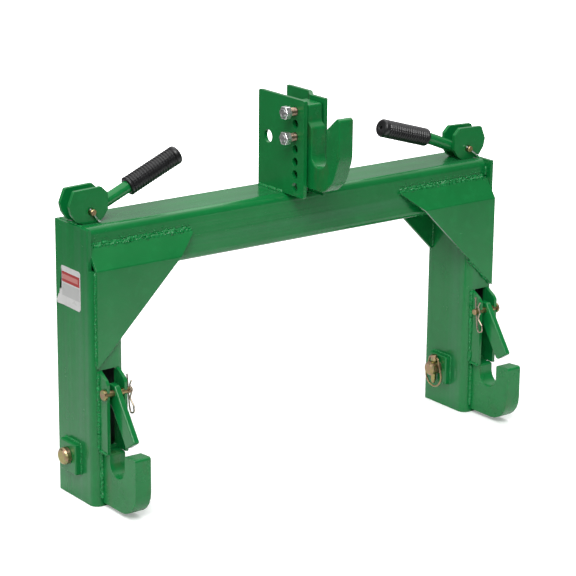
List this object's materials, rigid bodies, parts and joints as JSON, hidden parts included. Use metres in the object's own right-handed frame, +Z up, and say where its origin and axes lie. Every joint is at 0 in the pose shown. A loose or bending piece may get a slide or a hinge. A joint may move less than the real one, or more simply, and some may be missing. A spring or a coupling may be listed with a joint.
{
  "type": "three point quick hitch",
  "caption": "Three-point quick hitch frame with an adjustable top hook, latched lower hooks and over-beam cam levers that open the latches.",
  "frame": {"origin": "middle of the bounding box at the ground, under the cross beam", "axes": "+X along the cross beam to the right leg, +Y from the hooks towards the tractor links, +Z up"},
  "size_m": [0.7806, 0.193, 0.548],
  "materials": {
    "green_paint": "glossy",
    "yellow_zinc": "satin",
    "bright_zinc": "satin",
    "copper_zinc": "satin",
    "black_steel": "satin",
    "grip_rubber": "matte"
  },
  "bodies": {
    "frame": {"beam_tube": "green_paint", "bracket_plate_left": "green_paint", "bracket_plate_right": "green_paint", "front_gusset_left": "green_paint", "front_gusset_right": "green_paint", "latch_cheek_left_inner": "green_paint", "latch_cheek_left_outer": "green_paint", "latch_cheek_right_inner": "green_paint", "latch_cheek_right_outer": "green_paint", "latch_pin_clip_left": "bright_zinc", "latch_pin_clip_right": "bright_zinc", "latch_pin_left": "yellow_zinc", "latch_pin_right": "yellow_zinc", "latch_spring_left": "black_steel", "latch_spring_right": "black_steel", "leg_left": "green_paint", "leg_right": "green_paint", "linch_pin_left": "yellow_zinc", "linch_pin_right": "yellow_zinc", "link_boss_left_inner": "green_paint", "link_boss_left_outer": "green_paint", "link_boss_right_inner": "green_paint", "link_boss_right_outer": "green_paint", "lower_hook_left": "green_paint", "lower_hook_right": "green_paint", "lower_link_pin_left": "yellow_zinc", "lower_link_pin_right": "yellow_zinc", "rear_gusset_left": "green_paint", "rear_gusset_right": "green_paint", "top_hook": "green_paint", "top_hook_bolt_lower": "copper_zinc", "top_hook_bolt_upper": "copper_zinc", "top_hook_nut_lower": "bright_zinc", "top_hook_nut_upper": "bright_zinc"},
    "lift_left": {"lift_rod_left": "black_steel", "cam_pin_left": "yellow_zinc", "cam_pin_cotter_left": "bright_zinc", "spring_seat_left": "black_steel"},
    "lever_left": {"cam_plate_left_front": "green_paint", "cam_plate_left_rear": "green_paint", "lever_rod_left": "green_paint", "grip_left": "grip_rubber"},
    "latch_left": {"latch_left": "green_paint"},
    "linch_ring_left": {"linch_pin_ring_left": "yellow_zinc"},
    "lift_right": {"lift_rod_right": "black_steel", "cam_pin_right": "yellow_zinc", "cam_pin_cotter_right": "bright_zinc", "spring_seat_right": "black_steel"},
    "lever_right": {"cam_plate_right_front": "green_paint", "cam_plate_right_rear": "green_paint", "lever_rod_right": "green_paint", "grip_right": "grip_rubber"},
    "latch_right": {"latch_right": "green_paint"},
    "linch_ring_right": {"linch_pin_ring_right": "yellow_zinc"}
  },
  "joints": [
    {"name": "lift_slide_left", "type": "slide", "parent": "frame", "child": "lift_left", "axis": [0, 0, 1], "range_m": [0, 0.0236], "deforming": ["latch_spring_left"]},
    {"name": "lever_turn_left", "type": "hinge", "parent": "lift_left", "child": "lever_left", "pos_m": [-0.343, 0.0485, 0.4204], "axis": [0, -1, 0], "range_deg": [0, 112]},
    {"name": "latch_turn_left", "type": "hinge", "parent": "frame", "child": "latch_left", "pos_m": [-0.343, -0.0235, 0.1725], "axis": [1, 0, 0], "range_deg": [0, 41.1]},
    {"name": "linch_ring_turn_left", "type": "hinge", "parent": "frame", "child": "linch_ring_left", "pos_m": [-0.2994, 0.048, 0.0819], "axis": [0, -1, 0], "range_deg": [0, 100]},
    {"name": "lift_slide_right", "type": "slide", "parent": "frame", "child": "lift_right", "axis": [0, 0, 1], "range_m": [0, 0.0236], "deforming": ["latch_spring_right"]},
    {"name": "lever_turn_right", "type": "hinge", "parent": "lift_right", "child": "lever_right", "pos_m": [0.343, 0.0485, 0.4204], "axis": [0, 1, 0], "range_deg": [0, 112]},
    {"name": "latch_turn_right", "type": "hinge", "parent": "frame", "child": "latch_right", "pos_m": [0.343, -0.0235, 0.1725], "axis": [1, 0, 0], "range_deg": [0, 41.1]},
    {"name": "linch_ring_turn_right", "type": "hinge", "parent": "frame", "child": "linch_ring_right", "pos_m": [0.2994, 0.048, 0.0819], "axis": [0, 1, 0], "range_deg": [0, 100]}
  ],
  "couplings": [
    {"joint": "lift_slide_left", "follows": "lever_turn_left", "m_per_rad": 0.012},
    {"joint": "latch_turn_left", "follows": "lever_turn_left", "ratio": 0.366},
    {"joint": "lift_slide_right", "follows": "lever_turn_right", "m_per_rad": 0.012},
    {"joint": "latch_turn_right", "follows": "lever_turn_right", "ratio": 0.366}
  ]
}
